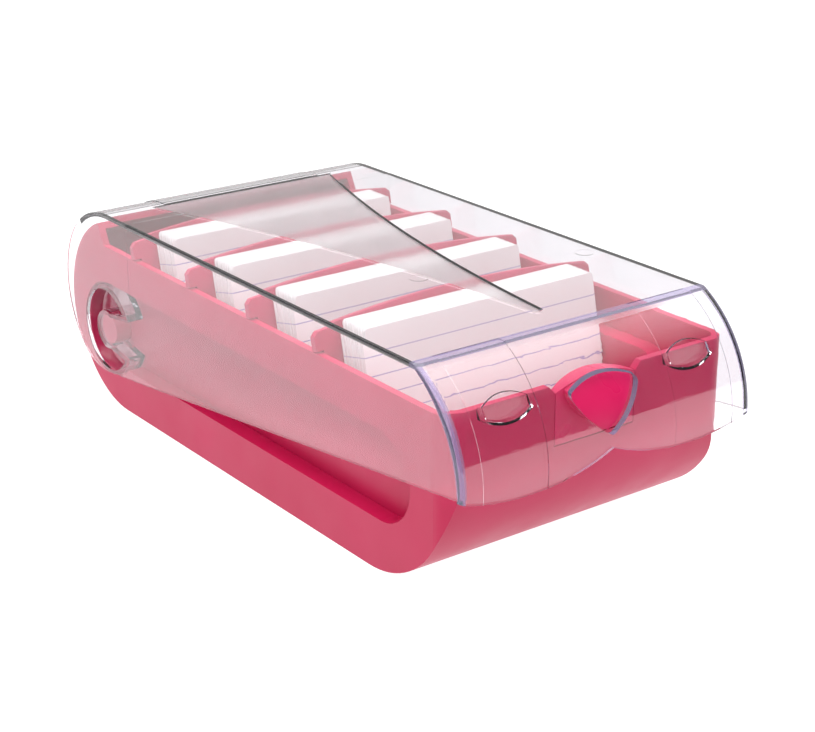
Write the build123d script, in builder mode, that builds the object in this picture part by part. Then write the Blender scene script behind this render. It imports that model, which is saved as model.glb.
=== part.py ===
"""Index card box: a clear lid pivots on an open tub that holds four card packs and their dividers.

Frame: millimetres, +Z up, origin at the middle of the closed box's footprint on the table,
+Y towards the hinge, -Y towards the latch, X across the cards.
"""
from build123d import *
from math import cos, radians, sin, sqrt, tan
import os

os.makedirs("parts", exist_ok=True)

# --- overall sizes of the closed box ---
box_width = 93.0
box_length = 193.2
box_height = 60.0

# --- walls and running gaps ---
lid_wall = 1.5
tub_wall = 2.0
side_gap = 0.5              # lid's inner face to the tub's side
front_gap = 0.46            # lid's bulged front to the tub's front rim
slip_gap = 0.3              # general gap between separate mouldings
slot_gap = 0.2              # round the latch tongue

# --- lid outline, seen from the side ---
bulge_radius = 32.4         # rounded front
bulge_centre_z = 31.4
tail_radius = 26.1          # rounded back
skirt_front_z = 31.2        # lower edge of the side, at the front
skirt_slope = 7.25          # degrees, the edge falls towards the hinge
skirt_end_y = 66.0
tail_sweep = 142.0          # degrees of the rounded back, from the top down and under
tail_bend_y = 8.4           # the lower edge's bend behind the clip, from the pivot
tail_bend_rise = 0.6
clip_foot_y = 1.3
plate_end_angle = 52.0      # where the top plate stops on the rounded back
corner_radius_low = 1.6     # front corners, at the lower edge
corner_radius_top = 2.4     # front corners, at the top
inner_corner_radius = 0.5   # least radius on the inside of those corners
skirt_level = 6.2           # length of the side's edge before it starts to fall
top_edge_radius = 0.6
lobe_reach = 4.2            # how far the two front lobes hang below their ends
cusp_z = 33.3
lobe_end_z = 31.3

# --- pivots ---
pivot_y = 72.7
pivot_z = 24.0
stud_radius = 4.4
stud_fit = 0.1              # radial gap between stud and clip
clip_outer_radius = 13.8
clip_wall = 1.4
clip_depth = 5.3            # of the C-shaped pocket, from the lid's outer face
clip_mouth_inner = 3.8      # half height of the clip's mouth, at the stud
clip_mouth_outer = 6.2      # half height of the mouth, at the rim
pocket_gap = 0.5            # between the clip and the tub's round pocket

# --- tub outline, seen from the side ---
rim_z = 49.6
tub_front_radius = 31.0     # front lower edge
tub_tail_radius = 28.8
tub_tail_y = 66.0           # centre of the rounded back
back_rise_y = 73.2          # where the rim starts to climb to the back wall
back_top_y = 76.3
back_top_z = 55.8
tub_corner_radius = 5.0     # upright front corners

# --- long side recess that guides the cards and gives a finger hold ---
guide_width = 75.0          # inside width between the two guide panels
recess_low_z = 13.9
recess_high_z = 38.5
recess_front_y = -74.8

# --- latch tongue and its pad ---
tongue_half_width = 12.6
tongue_root_z = 34.4
tongue_apex_z = 50.2
tongue_end_z = 46.9         # where the arched top meets the tongue's sides
tip_thickness = 1.6
notch_chamfer = 2.0
pad_gap = 0.5               # pad to the edge of the lid's opening
pad_face_gap = 0.5          # pad to the lid's inner face

# --- opening in the lid's front ---
nose_half_width = 11.0
nose_shoulder_z = 47.8
nose_top_z = 50.5
nose_bottom_z = 36.5
nose_round = 1.3

# --- two lens-shaped dimples either side of it ---
eye_x = 29.0
eye_z = 49.2
eye_half_width = 6.7
eye_half_height = 2.9
eye_end_half_height = 1.2
eye_wall = 1.1
eye_crease_z = 50.1
eye_upper_depth = 0.55

# --- shallow marks left by the lid's mould ---
panel_inner_x = 20.5        # raised front panels around the dimples
panel_outer_x = 40.0
mark_depth = 0.15
tail_step_y = 57.0
tail_step_depth = 0.2
tail_pad_x = 27.0
ejector_radius = 2.5
ejector_spots = [(4.2, 3.2), (40.8, -38.8), (-7.9, -29.4)]

# --- long shallow dish in the lid's top ---
dish_tip_y = -67.0
dish_tail_y = 69.0
dish_tail_half_width = 31.5
dish_tip_half_width = 1.5
dish_waist_y = -10.0
dish_waist_half_width = 9.8
dish_depth = 0.5

# --- cards and dividers ---
card_width = 74.0
card_height = 52.0
card_thickness = 0.24
card_pitch = 0.28
cards_per_pack = 34
lean = 12.8                 # degrees, dividers and cards lean back
divider_count = 4
divider_pitch = 30.6
first_divider_y = -37.7     # front face of the front divider, at the rim
divider_thickness = 2.0
ear_height = 5.4
ear_chamfer = 1.3
divider_apex_z = 57.6
rail_height = 2.7
rail_thickness = 1.6
rail_x = 22.0

# --- derived places ---
lid_half = box_width / 2
lid_inner_half = lid_half - lid_wall
tub_half = lid_inner_half - side_gap
front_y = -box_length / 2
back_y = box_length / 2
bulge_centre_y = front_y + bulge_radius
tail_centre_y = back_y - tail_radius
tail_centre_z = box_height - tail_radius
inner_bulge = bulge_radius - lid_wall
tub_front_y = bulge_centre_y - sqrt((inner_bulge - front_gap) ** 2 - (rim_z - bulge_centre_z) ** 2)
guide_outer_half = guide_width / 2 + tub_wall
lean_tan = tan(radians(lean))
lobe_low_z = (cusp_z + lobe_end_z) / 2 - lobe_reach


def bulge_y(radius, z):
    """Y of the rounded front at a height, for a given radius about the bulge's centre."""
    return bulge_centre_y - sqrt(radius ** 2 - (z - bulge_centre_z) ** 2)


def corner_radius(z):
    """The front corners open out from the top edge to the lower edge."""
    share = min(max((z - bulge_centre_z) / (box_height - bulge_centre_z), 0.0), 1.0)
    return corner_radius_low + (corner_radius_top - corner_radius_low) * share


def skirt_z(y):
    """Height of the side's lower edge."""
    level_end_y = bulge_y(bulge_radius, skirt_front_z) + skirt_level
    return skirt_front_z - (y - level_end_y) * tan(radians(skirt_slope))


join_y = bulge_centre_y + 4.0   # where the lofted front meets the extruded body


def lid_front_section(z, inset):
    """Plan outline of the lid's front part at one height, inset from the outer face."""
    front = bulge_y(bulge_radius - inset, z)
    half = lid_half - inset
    radius = max(corner_radius(z) - inset, inner_corner_radius)
    with BuildSketch(Plane.XY.offset(z)) as outline:
        with BuildLine():
            Line((half, join_y), (half, front + radius))
            JernArc(start=(half, front + radius), tangent=(0, -1), radius=radius, arc_size=-90)
            Line((half - radius, front), (radius - half, front))
            JernArc(start=(radius - half, front), tangent=(-1, 0), radius=radius, arc_size=-90)
            Line((-half, front + radius), (-half, join_y))
            Line((-half, join_y), (half, join_y))
        make_face()
    return outline.sketch


def lid_front_block(levels, inset):
    """Lofted front part of the lid's outer or inner volume."""
    with BuildPart() as block:
        add([lid_front_section(z, inset) for z in levels])
        loft()
    return block.part


def lens_outline(grow):
    """Outline of one dimple, grown by a margin, on its own centre."""
    half = eye_half_width + grow
    end = eye_end_half_height + grow * 0.6
    high = eye_half_height + grow
    Line((half, -end), (half, end))
    ThreePointArc((half, end), (0, high), (-half, end))
    Line((-half, end), (-half, -end))
    ThreePointArc((-half, -end), (0, -high), (half, -end))


def nose_outline(grow):
    """Rounded triangle of the lid's opening, grown or shrunk by a margin."""
    side_x = nose_half_width + grow
    cheek_x = nose_half_width * 0.66 + grow
    cheek_z = (nose_shoulder_z + nose_bottom_z) / 2
    tip_z = nose_bottom_z - 1.3 * grow
    with BuildSketch(Plane.XZ) as outline:
        with BuildLine():
            ThreePointArc((side_x, nose_shoulder_z), (0, nose_top_z + grow), (-side_x, nose_shoulder_z))
            ThreePointArc((-side_x, nose_shoulder_z), (-cheek_x, cheek_z), (0, tip_z))
            ThreePointArc((0, tip_z), (cheek_x, cheek_z), (side_x, nose_shoulder_z))
        make_face()
        fillet(outline.vertices(), nose_round + grow)
    return outline.sketch


# --- lid: outer volume ---
with BuildPart() as lid_outer:
    add(lid_front_block([24.0, bulge_centre_z, 40.0, 48.0, 54.5, box_height], 0))
    with BuildSketch(Plane.YZ) as side_view:
        with BuildLine():
            Line((join_y, 0), (join_y, box_height))
            Line((join_y, box_height), (tail_centre_y, box_height))
            CenterArc((tail_centre_y, tail_centre_z), tail_radius, 90, -tail_sweep)
            clip_foot = (pivot_y + clip_foot_y, pivot_z - clip_outer_radius)
            tail_foot = (tail_centre_y + tail_radius * cos(radians(90 - tail_sweep)),
                         tail_centre_z + tail_radius * sin(radians(90 - tail_sweep)))
            tail_bend = (pivot_y + tail_bend_y, pivot_z - clip_outer_radius + tail_bend_rise)
            ThreePointArc(tail_foot, tail_bend, clip_foot)
            Line(clip_foot, (skirt_end_y, skirt_z(skirt_end_y)))
            Line((skirt_end_y, skirt_z(skirt_end_y)), (skirt_end_y, 0))
            Line((skirt_end_y, 0), (join_y, 0))
        make_face()
    extrude(amount=lid_half, both=True)
    upper = lid_outer.edges().filter_by(lambda e: e.center().Z > tail_centre_z + 2)
    rim_edges = upper.filter_by(lambda e: e.center().Z > box_height - 0.01)
    tail_edges = upper.filter_by(GeomType.CIRCLE).filter_by(lambda e: e.center().Y > tail_centre_y)
    fillet(rim_edges.filter_by(lambda e: e.center().Y < back_y - 40) + tail_edges, top_edge_radius)

# --- lid: inner volume, open below and behind ---
inner_top = box_height - lid_wall
with BuildPart() as lid_inner:
    add(lid_front_block([22.0, bulge_centre_z, 40.0, 48.0, 54.5, inner_top], lid_wall))
    with BuildSketch(Plane.YZ):
        with BuildLine():
            end_angle = radians(plate_end_angle)
            Line((join_y, -2), (join_y, inner_top))
            Line((join_y, inner_top), (tail_centre_y, inner_top))
            CenterArc((tail_centre_y, tail_centre_z), tail_radius - lid_wall, 90, plate_end_angle - 90)
            plate_end = (tail_centre_y + (tail_radius - lid_wall) * cos(end_angle),
                         tail_centre_z + (tail_radius - lid_wall) * sin(end_angle))
            beyond = (tail_centre_y + tail_radius * 1.3 * cos(end_angle),
                      tail_centre_z + tail_radius * 1.3 * sin(end_angle))
            Polyline(plate_end, beyond, (back_y + 5, tail_centre_z), (back_y + 5, -2), (join_y, -2))
        make_face()
    extrude(amount=lid_inner_half, both=True)

# --- lid: everything below the side skirts and the two front lobes ---
skirt_start_y = front_y + corner_radius_low
with BuildPart() as lid_underside:
    with BuildSketch(Plane.YZ):
        with BuildLine():
            Polyline((skirt_start_y, skirt_z(skirt_start_y)), (skirt_end_y, skirt_z(skirt_end_y)),
                     (skirt_end_y, -2), (skirt_start_y, -2), close=True)
        make_face()
    extrude(amount=lid_half + 2, both=True)
    with BuildSketch(Plane.XZ.offset(-skirt_start_y)):
        with BuildLine():
            Polyline((0, cusp_z), (0, -2), (lid_half + 2, -2), (lid_half + 2, lobe_end_z),
                     (lid_half, lobe_end_z))
            ThreePointArc((lid_half, lobe_end_z), (lid_half / 2, lobe_low_z), (0, cusp_z))
        make_face()
        mirror(about=Plane.YZ)
    extrude(amount=corner_radius_low + 5)


def eye_back_y(z):
    """The dimple's inner face leans so that it lifts clear of the tub's rim."""
    return tub_front_y - slip_gap - 0.2 * (eye_crease_z - z)


def bulge_arc(radius, low, high):
    """Part of the rounded front, seen from the side, between two heights."""
    middle = (low + high) / 2
    return ThreePointArc((bulge_y(radius, low), low), (bulge_y(radius, middle), middle),
                         (bulge_y(radius, high), high))


def eye_prism(grow, reach):
    """The dimple's outline, grown by a margin, pushed through the lid's front."""
    with BuildPart() as prism:
        with BuildSketch(Plane.XZ.offset(-bulge_centre_y)) as outline:
            with BuildLine(Plane.XZ.offset(-bulge_centre_y) * Pos(eye_x, eye_z)):
                lens_outline(grow)
            make_face()
        extrude(amount=reach)
    return prism.part


# --- lid: one dimple, the wall behind it and the pocket in front ---
eye_low_z = eye_z - eye_half_height - 2 * eye_wall
eye_high_z = eye_z + eye_half_height + 2 * eye_wall
with BuildPart() as eye_wall_behind:
    add(eye_prism(eye_wall, bulge_radius + 5))
    with BuildSketch(Plane.YZ):
        with BuildLine():
            middle_radius = bulge_radius - lid_wall / 2
            bulge_arc(middle_radius, eye_low_z, eye_crease_z)
            Polyline((bulge_y(middle_radius, eye_crease_z), eye_crease_z),
                     (eye_back_y(eye_crease_z), eye_crease_z),
                     (eye_back_y(eye_low_z), eye_low_z), (bulge_y(middle_radius, eye_low_z), eye_low_z))
        make_face()
    extrude(amount=lid_half, mode=Mode.INTERSECT)

with BuildPart() as eye_pocket:
    add(eye_prism(0, bulge_radius + 5))
    with BuildSketch(Plane.YZ):
        with BuildLine():
            upper_radius = bulge_radius - eye_upper_depth
            bulge_arc(upper_radius, eye_crease_z, eye_high_z)
            Polyline((bulge_y(upper_radius, eye_high_z), eye_high_z), (front_y - 3, eye_high_z),
                     (front_y - 3, eye_low_z), (eye_back_y(eye_low_z) - eye_wall, eye_low_z),
                     (eye_back_y(eye_crease_z) - eye_wall, eye_crease_z),
                     (bulge_y(upper_radius, eye_crease_z), eye_crease_z))
        make_face()
    extrude(amount=lid_half, mode=Mode.INTERSECT)


def dish_outline(z, inset):
    """The dish's long outline in the lid's top, narrowing to a tip behind the latch."""
    tail = dish_tail_y - inset
    with BuildSketch(Plane.XY.offset(z)) as outline:
        with BuildLine():
            ThreePointArc((dish_tip_half_width - inset, dish_tip_y),
                          (dish_waist_half_width - inset, dish_waist_y),
                          (dish_tail_half_width - inset, tail))
            Line((dish_tail_half_width - inset, tail), (inset - dish_tail_half_width, tail))
            ThreePointArc((inset - dish_tail_half_width, tail),
                          (inset - dish_waist_half_width, dish_waist_y),
                          (inset - dish_tip_half_width, dish_tip_y))
            RadiusArc((inset - dish_tip_half_width, dish_tip_y), (dish_tip_half_width - inset, dish_tip_y),
                      -dish_tip_half_width)
        make_face()
    return outline.sketch


# --- lid: dish in the top ---
with BuildPart() as dish:
    add([dish_outline(box_height, 0), dish_outline(box_height - dish_depth, dish_depth)])
    loft()

# --- lid: shallow marks of the mould, on the +X side ---
with BuildPart() as mould_marks:
    with BuildSketch(Plane.YZ.offset(panel_inner_x)):
        with BuildLine():
            mark_top_z = box_height - mark_depth
            bulge_arc(bulge_radius - mark_depth, 25.0, mark_top_z)
            Polyline((bulge_y(bulge_radius - mark_depth, mark_top_z), mark_top_z),
                     (bulge_y(bulge_radius, box_height) + 2.4, mark_top_z),
                     (bulge_y(bulge_radius, box_height) + 2.4, box_height + 2), (front_y - 2, box_height + 2),
                     (front_y - 2, 25.0), (bulge_y(bulge_radius - mark_depth, 25.0), 25.0))
        make_face()
    extrude(amount=panel_outer_x - panel_inner_x)
    with BuildSketch(Plane.YZ.offset(tail_pad_x)):
        with BuildLine():
            step_radius = tail_radius - tail_step_depth
            Line((tail_step_y, box_height + 1), (tail_step_y, box_height - tail_step_depth))
            Line((tail_step_y, box_height - tail_step_depth), (tail_centre_y, box_height - tail_step_depth))
            CenterArc((tail_centre_y, tail_centre_z), step_radius, 90, plate_end_angle - 94)
            Line((tail_centre_y + step_radius * cos(radians(plate_end_angle - 4)),
                  tail_centre_z + step_radius * sin(radians(plate_end_angle - 4))), (back_y, box_height + 1))
            Line((back_y, box_height + 1), (tail_step_y, box_height + 1))
        make_face()
    extrude(amount=lid_half)
    with BuildSketch(Plane.YZ.offset(lid_half - tail_step_depth)):
        with Locations((tail_step_y + box_height, box_height / 2)):
            Rectangle(2 * box_height, 2 * box_height)
    extrude(amount=2)


def clip_outline(outer, inner, mouth_inner, mouth_outer):
    """C-shaped outline around the pivot, its mouth towards the front of the box."""
    with BuildSketch(Plane.YZ) as outline:
        with Locations((pivot_y, pivot_z)):
            Circle(outer)
            Circle(inner, mode=Mode.SUBTRACT)
        with BuildLine():
            Polyline((pivot_y, pivot_z + mouth_inner), (pivot_y - outer - 2, pivot_z + mouth_outer),
                     (pivot_y - outer - 2, pivot_z - mouth_outer), (pivot_y, pivot_z - mouth_inner),
                     close=True)
        make_face(mode=Mode.SUBTRACT)
    return outline.sketch


# --- lid: hinge clip on the +X side, and the pocket sunk in its outer face ---
clip_face_x = lid_half - clip_depth - clip_wall
with BuildPart() as clip_ridge:
    extrude(clip_outline(clip_outer_radius, stud_radius + stud_fit, clip_mouth_inner, clip_mouth_outer),
            amount=lid_inner_half - clip_face_x + lid_wall / 2)
    clip_solid = clip_ridge.part.moved(Location((clip_face_x, 0, 0)))
with BuildPart() as clip_pocket:
    extrude(clip_outline(clip_outer_radius - clip_wall, stud_radius + stud_fit + clip_wall,
                         clip_mouth_inner + clip_wall, clip_mouth_outer + clip_wall), amount=clip_depth + 1)
    pocket_solid = clip_pocket.part.moved(Location((lid_half - clip_depth, 0, 0)))

# --- lid ---
with BuildPart() as lid:
    add(lid_outer.part)
    add(lid_inner.part, mode=Mode.SUBTRACT)
    add(lid_underside.part, mode=Mode.SUBTRACT)
    for feature in (eye_wall_behind.part, clip_solid):
        add(feature)
        mirror(feature, about=Plane.YZ)
    with Locations([(x, y, inner_top) for x, y in ejector_spots]):
        Cylinder(ejector_radius, mark_depth * 2)
    for feature in (mould_marks.part, eye_pocket.part, pocket_solid):
        add(feature, mode=Mode.SUBTRACT)
        mirror(feature, about=Plane.YZ, mode=Mode.SUBTRACT)
    add(dish.part, mode=Mode.SUBTRACT)
    with BuildSketch(Plane.XZ.offset(-bulge_centre_y)):
        add(nose_outline(0))
    extrude(amount=bulge_radius + 5, mode=Mode.SUBTRACT)
lid.part.label = "lid"
export_step(lid.part, "parts/lid.step")


def tub_outline(inset):
    """The tub seen from the side, inset by a wall."""
    radius = tub_front_radius - inset
    start = tub_front_y + inset
    tail = tub_tail_radius - inset
    with BuildSketch(Plane.YZ) as outline:
        with BuildLine():
            Line((start, box_height), (start, inset + radius))
            CenterArc((start + radius, inset + radius), radius, 180, 90)
            Line((start + radius, inset), (tub_tail_y, inset))
            CenterArc((tub_tail_y, tub_tail_radius), tail, -90, 180)
            Line((tub_tail_y, tub_tail_radius + tail), (tub_tail_y, box_height))
            Line((tub_tail_y, box_height), (start, box_height))
        make_face()
    return outline.sketch


def tub_volume(half_width, inset, corner):
    """Outer or inner volume of the tub, its upright front corners rounded."""
    start = tub_front_y + inset
    with BuildPart() as volume:
        extrude(tub_outline(inset), amount=half_width, both=True)
        with BuildSketch(Plane.XY) as plan:
            with BuildLine():
                Polyline((half_width, start + corner), (half_width, back_y), (-half_width, back_y),
                         (-half_width, start + corner))
                JernArc(start=(-half_width, start + corner), tangent=(0, -1), radius=corner, arc_size=90)
                Line((corner - half_width, start), (half_width - corner, start))
                JernArc(start=(half_width - corner, start), tangent=(1, 0), radius=corner, arc_size=90)
            make_face()
        extrude(amount=box_height, mode=Mode.INTERSECT)
    return volume.part


def recess_slot(grow):
    """The long recess and the round pivot pocket, as one outline on the side of the tub."""
    radius = (recess_high_z - recess_low_z) / 2
    middle_z = (recess_high_z + recess_low_z) / 2
    with BuildSketch(Plane.YZ) as outline:
        with Locations((recess_front_y + radius, middle_z)):
            Circle(radius + grow)
        with Locations(((recess_front_y + radius + pivot_y) / 2, middle_z)):
            Rectangle(pivot_y - recess_front_y - radius, 2 * (radius + grow))
        with Locations((pivot_y, pivot_z)):
            Circle(clip_outer_radius + pocket_gap + grow)
    return outline.sketch


# --- tub: one guide panel with its pivot stud, on the +X side ---
panel_face_x = guide_outer_half
panel_back_x = guide_width / 2
with BuildPart() as guide_panel:
    extrude(recess_slot(tub_wall).moved(Location((panel_back_x, 0, 0))), amount=tub_half - panel_back_x)
with BuildPart() as guide_recess:
    extrude(recess_slot(0).moved(Location((panel_face_x, 0, 0))), amount=tub_half - panel_face_x + 1)
    with BuildSketch(Plane.YZ.offset(panel_face_x)):
        with Locations((pivot_y, pivot_z)):
            Circle(stud_radius)
    extrude(amount=tub_half - panel_face_x + 1, mode=Mode.SUBTRACT)

# --- tub: everything above the rim, the back wall left standing ---
with BuildPart() as above_rim:
    with BuildSketch(Plane.YZ):
        with BuildLine():
            Polyline((front_y, rim_z), (back_rise_y, rim_z), (back_top_y, back_top_z),
                     (back_top_y, box_height + 2), (front_y, box_height + 2), close=True)
        make_face()
    extrude(amount=lid_half, both=True)

# --- tub: gap in the front wall where the latch tongue stands ---
gap_half = tongue_half_width + slot_gap
with BuildPart() as tongue_gap:
    with BuildSketch(Plane.XZ.offset(-tub_front_y - tub_wall - 2)):
        with BuildLine():
            Polyline((-gap_half, tongue_root_z - slip_gap), (gap_half, tongue_root_z - slip_gap),
                     (gap_half, rim_z - notch_chamfer), (gap_half + notch_chamfer, rim_z + 0.1),
                     (-gap_half - notch_chamfer, rim_z + 0.1), (-gap_half, rim_z - notch_chamfer), close=True)
        make_face()
    extrude(amount=tub_wall + 4)


def lean_plane(front_at_rim):
    """Plane of a leaning front face, by its Y at the rim; its Y axis runs up the slope."""
    foot_y = front_at_rim - rim_z * lean_tan
    return Plane(origin=(0, foot_y, 0), x_dir=(1, 0, 0), z_dir=(0, -cos(radians(lean)), sin(radians(lean))))


def up_slope(z):
    """Distance up a leaning face for a height above the table."""
    return z / cos(radians(lean))


divider_fronts = [first_divider_y + divider_pitch * i for i in range(divider_count)]

# --- tub: two floor rails, slotted for the dividers ---
rail_front_y = tub_front_y + tub_front_radius - 1
rail_back_y = divider_fronts[-1]
with BuildPart() as floor_rails:
    for x in (-rail_x, rail_x):
        with Locations((x, rail_front_y, tub_wall / 2)):
            Box(rail_thickness, rail_back_y - rail_front_y, rail_height + tub_wall / 2,
                align=(Align.CENTER, Align.MIN, Align.MIN))
    for front in divider_fronts:
        with BuildSketch(lean_plane(front)):
            with Locations((0, up_slope(tub_wall + rail_height / 2))):
                Rectangle(2 * guide_width, 2 * rail_height + 4)
        extrude(amount=slip_gap, mode=Mode.SUBTRACT)
        with BuildSketch(lean_plane(front)):
            with Locations((0, up_slope(tub_wall + rail_height / 2))):
                Rectangle(2 * guide_width, 2 * rail_height + 4)
        extrude(amount=-divider_thickness - slip_gap, mode=Mode.SUBTRACT)

# --- tub ---
with BuildPart() as tub:
    add(tub_volume(tub_half, 0, tub_corner_radius))
    add(tub_volume(tub_half - tub_wall, tub_wall, tub_corner_radius - tub_wall), mode=Mode.SUBTRACT)
    add(guide_panel.part)
    mirror(guide_panel.part, about=Plane.YZ)
    add(guide_recess.part, mode=Mode.SUBTRACT)
    mirror(guide_recess.part, about=Plane.YZ, mode=Mode.SUBTRACT)
    add(above_rim.part, mode=Mode.SUBTRACT)
    add(tongue_gap.part, mode=Mode.SUBTRACT)
    add(floor_rails.part)
tub.part.label = "tub"
export_step(tub.part, "parts/tub.step")

# --- latch tongue: a springy flap of the front wall, its pad behind the lid's opening ---
pad_radius = inner_bulge - pad_face_gap
tongue_back_y = tub_front_y + tub_wall
with BuildPart() as pad_surround:
    with BuildSketch(Plane.XZ.offset(-tub_front_y)):
        Rectangle(2 * lid_half, 2 * box_height)
    extrude(amount=bulge_radius)
    extrude(nose_outline(-pad_gap).moved(Location((0, tongue_back_y, 0))), amount=2 * bulge_radius,
            mode=Mode.SUBTRACT)
with BuildPart() as above_tongue:
    with BuildSketch(Plane.XZ.offset(-bulge_centre_y)):
        with BuildLine():
            side_x = tongue_half_width + lid_wall
            ThreePointArc((-side_x, tongue_end_z), (0, tongue_apex_z), (side_x, tongue_end_z))
            Polyline((side_x, tongue_end_z), (side_x, box_height), (-side_x, box_height),
                     (-side_x, tongue_end_z))
        make_face()
    extrude(amount=2 * bulge_radius)
with BuildPart() as latch_tongue:
    with BuildSketch(Plane.YZ):
        with BuildLine():
            bulge_arc(pad_radius, tongue_root_z, box_height - lid_wall - pad_gap)
            tip_y = bulge_y(pad_radius, box_height - lid_wall - pad_gap)
            Polyline((tip_y, box_height - lid_wall - pad_gap),
                     (tip_y + tip_thickness, box_height - lid_wall - pad_gap),
                     (tongue_back_y, rim_z - notch_chamfer), (tongue_back_y, tongue_root_z),
                     (bulge_y(pad_radius, tongue_root_z), tongue_root_z))
        make_face()
    extrude(amount=tongue_half_width, both=True)
    add(pad_surround.part, mode=Mode.SUBTRACT)
    add(above_tongue.part, mode=Mode.SUBTRACT)
latch_tongue.part.label = "latch_tongue"
export_step(latch_tongue.part, "parts/latch_tongue.step")


def make_divider(front_at_rim):
    """A leaning plate with an arched top; its two ears rest on the tub's rim."""
    stem_half = guide_width / 2 - slip_gap
    back_drop = divider_thickness * sin(radians(lean))
    foot_z = tub_wall + slip_gap + back_drop
    seat_z = rim_z + 0.05 + back_drop
    throat_half = tub_half - tub_wall - slip_gap
    ear_half = tub_half - 0.1
    shoulder_z = recess_high_z + tub_wall + 1.5
    ear_top_z = rim_z + ear_height
    with BuildPart() as plate:
        with BuildSketch(lean_plane(front_at_rim)):
            with BuildLine():
                Polyline((0, up_slope(foot_z)), (stem_half, up_slope(foot_z)),
                         (stem_half, up_slope(shoulder_z)), (throat_half, up_slope(shoulder_z + 1.5)),
                         (throat_half, up_slope(seat_z)), (ear_half, up_slope(seat_z)),
                         (ear_half, up_slope(ear_top_z - ear_chamfer)),
                         (ear_half - ear_chamfer, up_slope(ear_top_z)))
                ThreePointArc((ear_half - ear_chamfer, up_slope(ear_top_z)),
                              (ear_half / 2, up_slope(ear_top_z + (divider_apex_z - ear_top_z) * 0.74)),
                              (0, up_slope(divider_apex_z)))
                Line((0, up_slope(divider_apex_z)), (0, up_slope(foot_z)))
            make_face()
            mirror(about=Plane.YZ)
        extrude(amount=-divider_thickness)
        fillet(plate.edges().filter_by(lambda e: e.center().Z > rim_z + ear_height - 0.3), 0.4)
    return plate.part


def make_card_pack(front_at_rim):
    """Loose cards that lean on the divider behind them and stand on the floor rails."""
    cards = []
    for i in range(cards_per_pack):
        forward = 0.2 + card_pitch * i
        foot_z = tub_wall + rail_height + 0.1 - forward * sin(radians(lean))
        stagger = 0.35 * sin(2.4 * i)
        with BuildPart() as card:
            with BuildSketch(lean_plane(front_at_rim).offset(forward)):
                with Locations((0.8 * stagger, up_slope(foot_z) + card_height / 2 + 0.4 * abs(stagger))):
                    RectangleRounded(card_width, card_height, 1.0)
            extrude(amount=card_thickness)
        cards.append(card.part)
    return Compound(children=cards)


# --- dividers and card packs, front to back ---
for number, front in enumerate(divider_fronts, start=1):
    divider = make_divider(front)
    divider.label = f"divider_{number}"
    export_step(divider, f"parts/{divider.label}.step")
    card_pack = make_card_pack(front)
    card_pack.label = f"card_pack_{number}"
    export_step(card_pack, f"parts/{card_pack.label}.step")
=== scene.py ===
import math
import bpy
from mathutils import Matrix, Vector

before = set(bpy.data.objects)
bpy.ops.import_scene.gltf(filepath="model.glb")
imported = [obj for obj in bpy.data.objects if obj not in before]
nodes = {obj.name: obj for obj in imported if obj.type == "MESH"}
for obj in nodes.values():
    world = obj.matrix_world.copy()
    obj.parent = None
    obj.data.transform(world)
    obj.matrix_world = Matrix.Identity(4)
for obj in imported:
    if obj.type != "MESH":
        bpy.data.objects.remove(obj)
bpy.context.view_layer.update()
print("stage: frame loaded, nodes", len(nodes))


def linearColor(code):
    channels = [int(code[i:i + 2], 16) / 255 for i in (1, 3, 5)]
    return [c / 12.92 if c <= 0.04045 else ((c + 0.055) / 1.055) ** 2.4 for c in channels] + [1.0]


def addNode(tree, kind, links=None, settings=None):
    node = tree.nodes.new("ShaderNode" + kind)
    for name, value in (settings or {}).items():
        setattr(node, name, value)
    for name, value in (links or {}).items():
        if isinstance(value, bpy.types.NodeSocket):
            tree.links.new(value, node.inputs[name])
        else:
            node.inputs[name].default_value = value
    return node


def compute(tree, operation, first, second=0.0):
    return addNode(tree, "Math", {0: first, 1: second}, {"operation": operation}).outputs[0]


def dotWith(tree, value, way):
    return addNode(tree, "VectorMath", {0: value, 1: way}, {"operation": "DOT_PRODUCT"}).outputs["Value"]


def mixColors(tree, share, first, second):
    mix = addNode(tree, "Mix", {0: share, "A": linearColor(first), "B": linearColor(second)},
                  {"data_type": "RGBA"})
    return [socket for socket in mix.outputs if socket.type == "RGBA"][0]


def noiseAt(tree, place, size, detail=2.0):
    return addNode(tree, "TexNoise", {"Vector": place, "Scale": 1 / size, "Detail": detail}).outputs["Fac"]


def spread(tree, noise, low, high):  # noise keeps near its middle, so that part is stretched
    return addNode(tree, "MapRange", {"Value": noise, "From Min": 0.3, "From Max": 0.7,
                                      "To Min": low, "To Max": high}).outputs["Result"]


def newMaterial(name):
    material = bpy.data.materials.new(name)
    material.use_nodes = True
    tree = material.node_tree
    tree.nodes.clear()
    output = addNode(tree, "OutputMaterial")
    place = addNode(tree, "TexCoord").outputs["Object"]  # metres, in the object's own frame
    return material, tree, output, place


def giveMaterial(obj, material):
    obj.data.materials.clear()
    obj.data.materials.append(material)


plasticLook = {"ior": 1.46, "grainDepth": 0.00006, "grainDetail": 3.0, "swellStrength": 0.25,
               "swellDepth": 0.0006, "wear": 0.011, "polished": -0.04, "dulled": 0.05}


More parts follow.
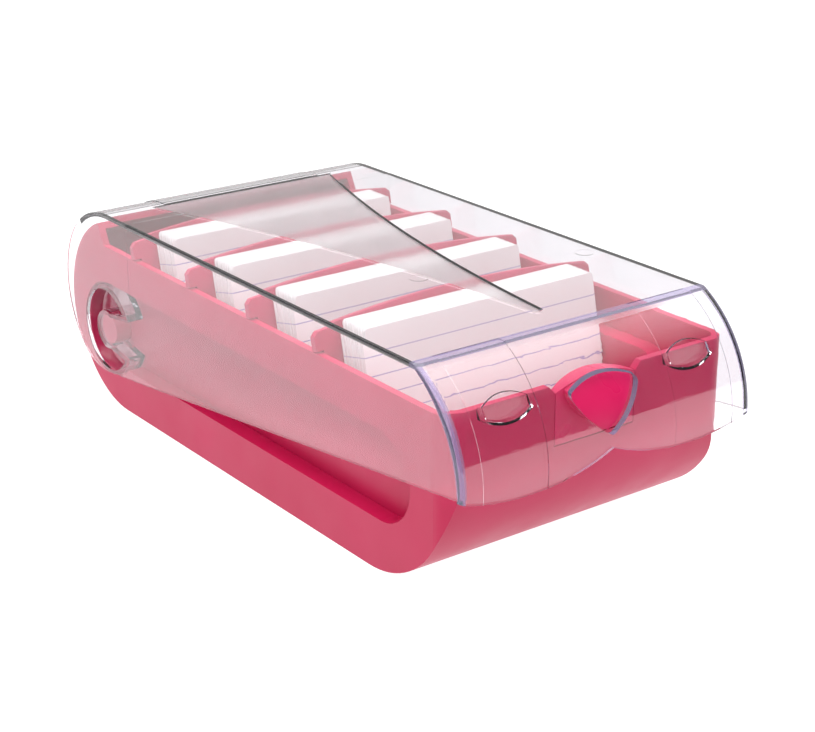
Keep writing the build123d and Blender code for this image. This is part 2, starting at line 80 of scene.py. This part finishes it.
def pinkPlastic(name, look):  # moulded styrene with a fine satin texture
    material, tree, output, place = newMaterial(name)
    cloud = noiseAt(tree, place, look["cloud"])
    shades = mixColors(tree, spread(tree, cloud, 0, 1), look["dark"], look["light"])
    grain = noiseAt(tree, place, look["grain"], plasticLook["grainDetail"])
    swell = noiseAt(tree, place, look["swell"], 1.0)
    bump = addNode(tree, "Bump", {"Height": grain, "Strength": look["grainStrength"],
                                  "Distance": plasticLook["grainDepth"]})
    waves = addNode(tree, "Bump", {"Height": swell, "Strength": plasticLook["swellStrength"],
                                   "Distance": plasticLook["swellDepth"], "Normal": bump.outputs["Normal"]})
    rough = spread(tree, noiseAt(tree, place, plasticLook["wear"]),
                   look["roughness"] + plasticLook["polished"], look["roughness"] + plasticLook["dulled"])
    shader = addNode(tree, "BsdfPrincipled", {"Base Color": shades, "Roughness": rough,
                                              "IOR": plasticLook["ior"], "Normal": waves.outputs["Normal"]})
    tree.links.new(shader.outputs["BSDF"], output.inputs["Surface"])
    return material


tubLook = {"dark": "#BA0E47", "light": "#C2144F", "cloud": 0.03, "grain": 0.0004, "swell": 0.045,
           "grainStrength": 0.05, "roughness": 0.38}
giveMaterial(nodes["tub"], pinkPlastic("satinPinkTubPlastic", tubLook))

dividerLook = {"dark": "#B81348", "light": "#C21C53", "cloud": 0.02, "grain": 0.0005, "swell": 0.03,
               "grainStrength": 0.15, "roughness": 0.36}
dividerPlastic = pinkPlastic("satinPinkDividerPlastic", dividerLook)
for number in range(1, 5):
    giveMaterial(nodes[f"divider_{number}"], dividerPlastic)

latchLook = {"dark": "#CC1754", "light": "#D41E5B", "cloud": 0.015, "grain": 0.0004, "swell": 0.02,
             "grainStrength": 0.15, "roughness": 0.3}
giveMaterial(nodes["latch_tongue"], pinkPlastic("satinPinkLatchPlastic", latchLook))
print("stage: pink plastic pieces")

cardLook = {"paper": "#F6F5F3", "line": "#A9A2CF", "lean": 12.8, "firstLine": 0.006, "lineSpacing": 0.0049,
            "lineHalf": 0.00014, "faceDepth": 0.0005, "faceTurn": 0.9, "fibre": 0.0006, "fibreStrength": 0.3,
            "fibreDepth": 0.00004, "roughness": 0.75, "ior": 1.5, "shine": 0.3}


def ruledPaper(number):  # thin lavender rules on the faces, none on the cut edges
    material, tree, output, place = newMaterial(f"ruledCardPaper{number}")
    lean = math.radians(cardLook["lean"])
    upward = Vector((0, math.sin(lean), math.cos(lean)))
    forward = Vector((0, -math.cos(lean), math.sin(lean)))
    corners = [v.co for v in nodes[f"card_pack_{number}"].data.vertices]
    front = max(c.dot(forward) for c in corners)
    top = max(c.dot(upward) for c in corners if c.dot(forward) > front - cardLook["faceDepth"])
    height = dotWith(tree, place, upward)
    below = compute(tree, "SUBTRACT", top - cardLook["firstLine"], height)
    near = addNode(tree, "Math", {0: below, 1: cardLook["lineSpacing"], 2: 0.0}, {"operation": "WRAP"})
    line = compute(tree, "LESS_THAN", near.outputs[0], 2 * cardLook["lineHalf"])
    started = compute(tree, "GREATER_THAN", below, 0.0)
    facing = dotWith(tree, addNode(tree, "TexCoord").outputs["Normal"], forward)
    flat = compute(tree, "GREATER_THAN", compute(tree, "ABSOLUTE", facing), cardLook["faceTurn"])
    inked = compute(tree, "MULTIPLY", compute(tree, "MULTIPLY", line, started), flat)
    shades = mixColors(tree, inked, cardLook["paper"], cardLook["line"])
    fibres = noiseAt(tree, place, cardLook["fibre"], 4.0)
    bump = addNode(tree, "Bump", {"Height": fibres, "Strength": cardLook["fibreStrength"],
                                  "Distance": cardLook["fibreDepth"]})
    shader = addNode(tree, "BsdfPrincipled", {"Base Color": shades, "Roughness": cardLook["roughness"],
                                              "IOR": cardLook["ior"], "Specular IOR Level": cardLook["shine"],
                                              "Normal": bump.outputs["Normal"]})
    tree.links.new(shader.outputs["BSDF"], output.inputs["Surface"])
    return material


for number in range(1, 5):
    giveMaterial(nodes[f"card_pack_{number}"], ruledPaper(number))
print("stage: ruled cards")

lidLook = {"tint": "#F9F8FB", "depth": "#A49ADC", "density": 4.0, "clear": 0.02, "frosted": 0.3, "ior": 1.59,
           "through": 0.997, "shade": "#FFFEFF", "frostLow": 0.0588, "frostHigh": 0.0596,
           "flow": 0.035, "flowStrength": 0.03, "flowDepth": 0.0003}
# painted reflection: lavender colour and lower transmission for bands on the lid's front edges and nose cut
paintedEdgeReflectionLook = {"color": "#B0A6CC", "through": 0.72, "topY": -0.0786, "topHalf": 0.0016, "topZ": 0.0588,
           "frontY": -0.064, "cornerTurn": 0.12, "noseX": 0.0125, "noseZ": 0.0515, "noseTurn": 0.3}


def paintedEdgeReflectionMask(tree, place):  # painted reflection: bands along the front top edge, the front corners and the nose cut get a lavender colour and pass less light, standing in for edge reflections
    spot = addNode(tree, "SeparateXYZ", {"Vector": place}).outputs
    turned = addNode(tree, "TexCoord").outputs["Normal"]
    turn = addNode(tree, "SeparateXYZ", {"Vector": turned}).outputs
    sideways = compute(tree, "ABSOLUTE", turn["X"])
    onward = compute(tree, "ABSOLUTE", turn["Y"])
    ahead = compute(tree, "LESS_THAN", spot["Y"], paintedEdgeReflectionLook["frontY"])
    far = compute(tree, "ABSOLUTE", compute(tree, "SUBTRACT", spot["Y"], paintedEdgeReflectionLook["topY"]))
    top = compute(tree, "MULTIPLY", compute(tree, "LESS_THAN", far, paintedEdgeReflectionLook["topHalf"]),
                  compute(tree, "GREATER_THAN", spot["Z"], paintedEdgeReflectionLook["topZ"]))
    bend = compute(tree, "GREATER_THAN", compute(tree, "MULTIPLY", sideways, onward), paintedEdgeReflectionLook["cornerTurn"])
    corner = compute(tree, "MULTIPLY", bend, ahead)
    narrow = compute(tree, "LESS_THAN", compute(tree, "ABSOLUTE", spot["X"]), paintedEdgeReflectionLook["noseX"])
    low = compute(tree, "LESS_THAN", spot["Z"], paintedEdgeReflectionLook["noseZ"])
    cut = compute(tree, "MULTIPLY", compute(tree, "LESS_THAN", onward, paintedEdgeReflectionLook["noseTurn"]), ahead)
    nose = compute(tree, "MULTIPLY", cut, compute(tree, "MULTIPLY", narrow, low))
    return compute(tree, "MAXIMUM", compute(tree, "MAXIMUM", top, corner), nose)


def clearStyrene():  # polished inside and out, frosted only on the sunk field under the top
    material, tree, output, place = newMaterial("clearLidStyrene")
    height = addNode(tree, "SeparateXYZ", {"Vector": place}).outputs["Z"]
    frost = compute(tree, "MULTIPLY", compute(tree, "GREATER_THAN", height, lidLook["frostLow"]),
                    compute(tree, "LESS_THAN", height, lidLook["frostHigh"]))
    rough = addNode(tree, "MapRange", {"Value": frost, "To Min": lidLook["clear"],
                                       "To Max": lidLook["frosted"]}).outputs["Result"]
    # painted reflection: the edge bands take the lavender colour and let less light through
    paintedEdgeReflection = paintedEdgeReflectionMask(tree, place)
    shades = mixColors(tree, paintedEdgeReflection, lidLook["tint"], paintedEdgeReflectionLook["color"])
    through = addNode(tree, "MapRange", {"Value": paintedEdgeReflection, "To Min": lidLook["through"],
                                         "To Max": paintedEdgeReflectionLook["through"]}).outputs["Result"]
    flow = noiseAt(tree, place, lidLook["flow"], 1.0)
    bump = addNode(tree, "Bump", {"Height": flow, "Strength": lidLook["flowStrength"],
                                  "Distance": lidLook["flowDepth"]})
    shader = addNode(tree, "BsdfPrincipled", {"Base Color": shades, "Roughness": rough, "IOR": lidLook["ior"],
                                              "Transmission Weight": through,
                                              "Normal": bump.outputs["Normal"]})
    depth = addNode(tree, "VolumeAbsorption", {"Color": linearColor(lidLook["depth"]),
                                               "Density": lidLook["density"]})
    clearPass = addNode(tree, "BsdfTransparent", {"Color": linearColor(lidLook["shade"])})
    lit = addNode(tree, "MixShader", {0: addNode(tree, "LightPath").outputs["Is Shadow Ray"],
                                      1: shader.outputs["BSDF"],
                                      2: clearPass.outputs["BSDF"]})  # lets lamp light in to the cards
    tree.links.new(lit.outputs["Shader"], output.inputs["Surface"])
    tree.links.new(depth.outputs["Volume"], output.inputs["Volume"])
    return material


giveMaterial(nodes["lid"], clearStyrene())
print("stage: clear lid")

floorLook = {"size": 8.0, "color": "#6E6E6E", "glow": 1.02, "roughness": 0.8, "shine": 0.1}
bpy.ops.mesh.primitive_plane_add(size=floorLook["size"], location=(0, 0, 0))
floor = bpy.context.object
floor.name = "floor"
floorMaterial, tree, output, _ = newMaterial("paleStudioFloor")  # matt paper, evenly bright
floorShader = addNode(tree, "BsdfPrincipled", {"Base Color": linearColor(floorLook["color"]),
                                               "Roughness": floorLook["roughness"],
                                               "Specular IOR Level": floorLook["shine"],
                                               "Emission Color": (1, 1, 1, 1),
                                               "Emission Strength": floorLook["glow"]})
tree.links.new(floorShader.outputs["BSDF"], output.inputs["Surface"])
giveMaterial(floor, floorMaterial)

roomLook = {"low": 0.1, "behind": 0.7, "ceiling": 1.8, "behindWay": (0.6, 0.8, 0.0), "cool": "#B9B2DC",
            "warm": "#FFFDFC", "wallFrom": -0.1, "wallTo": 0.6, "roofFrom": 0.45, "roofTo": 0.85}
world = bpy.data.worlds.new("studioRoom")
bpy.context.scene.world = world
world.use_nodes = True
room = world.node_tree
backdrop = room.nodes["Background"]
toward = addNode(room, "TexCoord").outputs["Generated"]
lift = addNode(room, "SeparateXYZ", {"Vector": toward}).outputs["Z"]
away = dotWith(room, toward, roomLook["behindWay"])
wall = addNode(room, "MapRange", {"Value": away, "From Min": roomLook["wallFrom"],
                                  "From Max": roomLook["wallTo"], "To Min": roomLook["low"],
                                  "To Max": roomLook["behind"]}, {"interpolation_type": "SMOOTHSTEP"})
roof = addNode(room, "MapRange", {"Value": lift, "From Min": roomLook["roofFrom"],
                                  "From Max": roomLook["roofTo"], "To Min": 0.0,
                                  "To Max": roomLook["ceiling"]}, {"interpolation_type": "SMOOTHSTEP"})
glow = compute(room, "ADD", wall.outputs["Result"], roof.outputs["Result"])
bright = addNode(room, "MapRange", {"Value": glow, "From Min": roomLook["low"],
                                    "From Max": roomLook["behind"]}).outputs["Result"]
cast = mixColors(room, bright, roomLook["cool"], roomLook["warm"])
room.links.new(glow, backdrop.inputs["Strength"])
room.links.new(cast, backdrop.inputs["Color"])

overheadLook = {"place": (-0.1, 0.1, 1.1), "target": (0, 0, 0), "size": 1.1, "power": 8.0}
leftFrontLook = {"place": (-0.85, -0.55, 0.75), "target": (0, 0, 0.03), "size": 0.8, "power": 3.5}


def softbox(name, look):
    bpy.ops.object.light_add(type="AREA", location=look["place"])
    light = bpy.context.object
    light.name = name
    light.data.size = look["size"]
    light.data.energy = look["power"]
    aim = Vector(look["target"]) - Vector(look["place"])
    light.rotation_euler = aim.to_track_quat("-Z", "Y").to_euler()


softbox("overheadBox", overheadLook)
softbox("leftFrontBox", leftFrontLook)
print("stage: floor and light")

cameraLook = {"place": (-0.2770, -0.3869, 0.2091), "heading": 36.63, "pitch": 21.235, "roll": 0.085,
              "lens": 80.6, "sensor": 36.0, "nearest": 0.01}
bpy.ops.object.camera_add(location=cameraLook["place"])
camera = bpy.context.object
camera.name = "mainCamera"
camera.rotation_euler = (math.radians(90 - cameraLook["pitch"]), math.radians(cameraLook["roll"]),
                         math.radians(-cameraLook["heading"]))
camera.data.lens = cameraLook["lens"]
camera.data.sensor_width = cameraLook["sensor"]
camera.data.clip_start = cameraLook["nearest"]
bpy.context.scene.camera = camera
bpy.context.scene.view_settings.view_transform = "Standard"
print("stage: camera")
